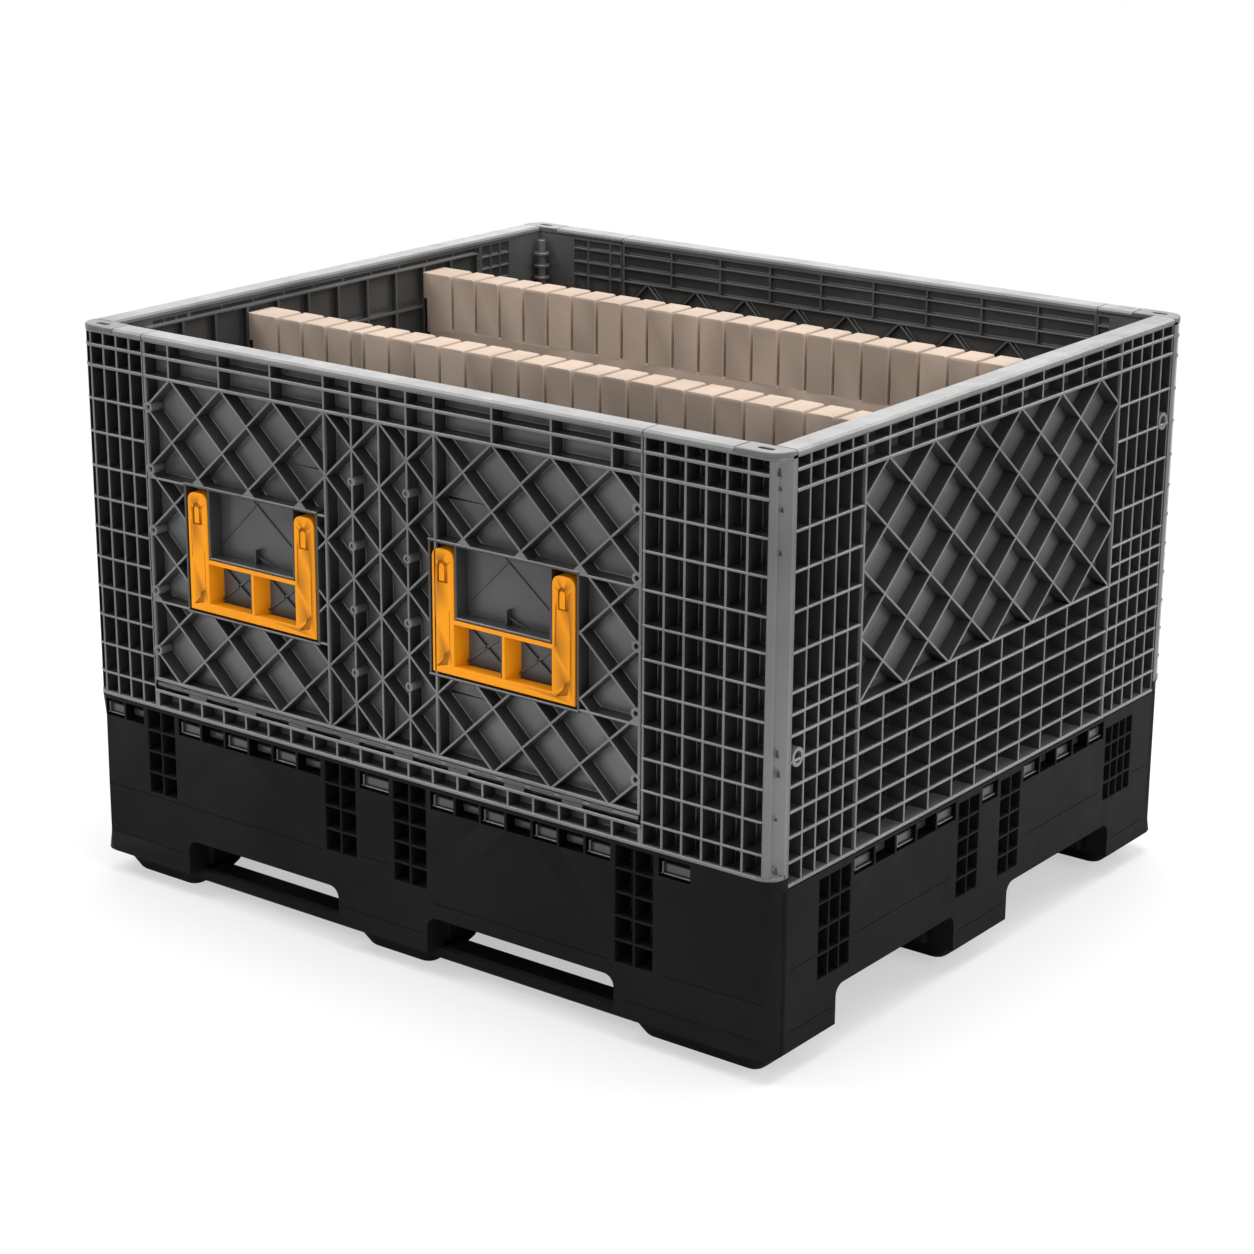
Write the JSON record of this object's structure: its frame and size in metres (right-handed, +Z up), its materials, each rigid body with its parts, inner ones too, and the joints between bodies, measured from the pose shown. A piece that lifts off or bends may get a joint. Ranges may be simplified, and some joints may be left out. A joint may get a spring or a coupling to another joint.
{
  "type": "collapsible bulk container",
  "caption": "Open collapsible bulk container: ribbed walls with drop doors and pull latches on a fork-entry base, with slotted foam combs inside.",
  "frame": {"origin": "centre of the bounding box's bottom face, on the ground under the runners", "axes": "+X along the long walls to the right, seen from the front; +Y from the front wall to the rear wall; +Z up"},
  "size_m": [1.219, 1.05, 0.84],
  "materials": {
    "base_plastic": "matte black moulded plastic",
    "wall_plastic": "satin mid grey moulded plastic",
    "latch_plastic": "satin orange moulded plastic",
    "pin_steel": "plain steel rod",
    "foam": "matte beige closed-cell foam"
  },
  "bodies": {
    "base": {"base_deck": "base_plastic", "runner_front": "base_plastic", "runner_middle": "base_plastic", "runner_rear": "base_plastic", "front_wall_frame": "wall_plastic", "rear_wall_frame": "wall_plastic", "right_end_wall": "wall_plastic", "left_end_wall": "wall_plastic", "right_end_liner": "wall_plastic", "left_end_liner": "wall_plastic", "front_right_corner_cap": "wall_plastic", "front_left_corner_cap": "wall_plastic", "rear_right_corner_cap": "wall_plastic", "rear_left_corner_cap": "wall_plastic", "front_right_lock_rod": "wall_plastic", "front_left_lock_rod": "wall_plastic", "rear_right_lock_rod": "wall_plastic", "rear_left_lock_rod": "wall_plastic", "front_door_hinge_rod": "pin_steel", "rear_door_hinge_rod": "pin_steel", "front_foam_comb": "foam", "rear_foam_comb": "foam"},
    "front_drop_door": {"front_door": "wall_plastic", "front_latch_a_pin_left": "pin_steel", "front_latch_a_pin_right": "pin_steel", "front_latch_b_pin_left": "pin_steel", "front_latch_b_pin_right": "pin_steel"},
    "front_pull_latch_a": {"front_latch_a": "latch_plastic"},
    "front_pull_latch_b": {"front_latch_b": "latch_plastic"},
    "rear_drop_door": {"rear_door": "wall_plastic", "rear_latch_a_pin_left": "pin_steel", "rear_latch_a_pin_right": "pin_steel", "rear_latch_b_pin_left": "pin_steel", "rear_latch_b_pin_right": "pin_steel"},
    "rear_pull_latch_a": {"rear_latch_a": "latch_plastic"},
    "rear_pull_latch_b": {"rear_latch_b": "latch_plastic"}
  },
  "joints": [
    {"name": "front_door_hinge", "type": "hinge", "parent": "base", "child": "front_drop_door", "pos_m": [0, -0.5205, 0.322], "axis": [1, 0, 0], "range_deg": [0, 120]},
    {"name": "front_latch_a_pivot", "type": "hinge", "parent": "front_drop_door", "child": "front_pull_latch_a", "pos_m": [-0.281, -0.515, 0.61], "axis": [-1, 0, 0], "range_deg": [0, 35]},
    {"name": "front_latch_b_pivot", "type": "hinge", "parent": "front_drop_door", "child": "front_pull_latch_b", "pos_m": [0.173, -0.515, 0.61], "axis": [-1, 0, 0], "range_deg": [0, 35]},
    {"name": "rear_door_hinge", "type": "hinge", "parent": "base", "child": "rear_drop_door", "pos_m": [0, 0.5205, 0.322], "axis": [-1, 0, 0], "range_deg": [0, 120]},
    {"name": "rear_latch_a_pivot", "type": "hinge", "parent": "rear_drop_door", "child": "rear_pull_latch_a", "pos_m": [0.281, 0.515, 0.61], "axis": [1, 0, 0], "range_deg": [0, 35]},
    {"name": "rear_latch_b_pivot", "type": "hinge", "parent": "rear_drop_door", "child": "rear_pull_latch_b", "pos_m": [-0.173, 0.515, 0.61], "axis": [1, 0, 0], "range_deg": [0, 35]}
  ]
}
